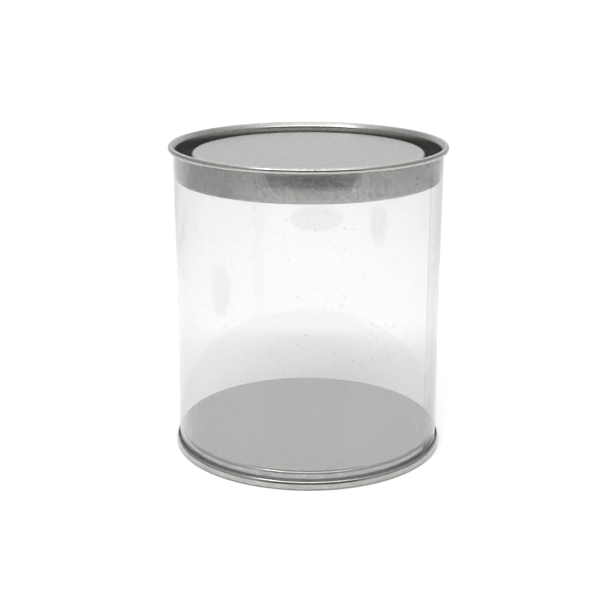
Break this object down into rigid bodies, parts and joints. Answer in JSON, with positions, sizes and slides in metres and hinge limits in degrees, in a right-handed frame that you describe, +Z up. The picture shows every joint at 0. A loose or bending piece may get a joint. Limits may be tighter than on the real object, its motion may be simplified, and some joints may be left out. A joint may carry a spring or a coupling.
{
  "type": "candle tin",
  "caption": "Round clear-walled tin with a crimped tinplate base and a push-in tinplate lid, for candles and other small goods.",
  "frame": {"origin": "centre of the ring that the base stands on", "axes": "+Z up along the tin's axis, through the lid; -Y is the front, and the tube's bonded lap lies between 61 and 76 degrees from it towards +X"},
  "size_m": [0.0788, 0.0788, 0.0886],
  "materials": {
    "base_tinplate": "bright tinplate, satin, with a very fine grain",
    "tube_clear_plastic": "clear, colourless, glossy sheet",
    "lid_tinplate": "bright tinplate, satin, with a very fine grain"
  },
  "bodies": {
    "container": {"base": "base_tinplate", "tube": "tube_clear_plastic"},
    "lid": {"lid": "lid_tinplate"}
  },
  "joints": [
    {"name": "lid_lift", "type": "slide", "parent": "container", "child": "lid", "axis": [0, 0, 1], "range_m": [0, 0.05]}
  ]
}
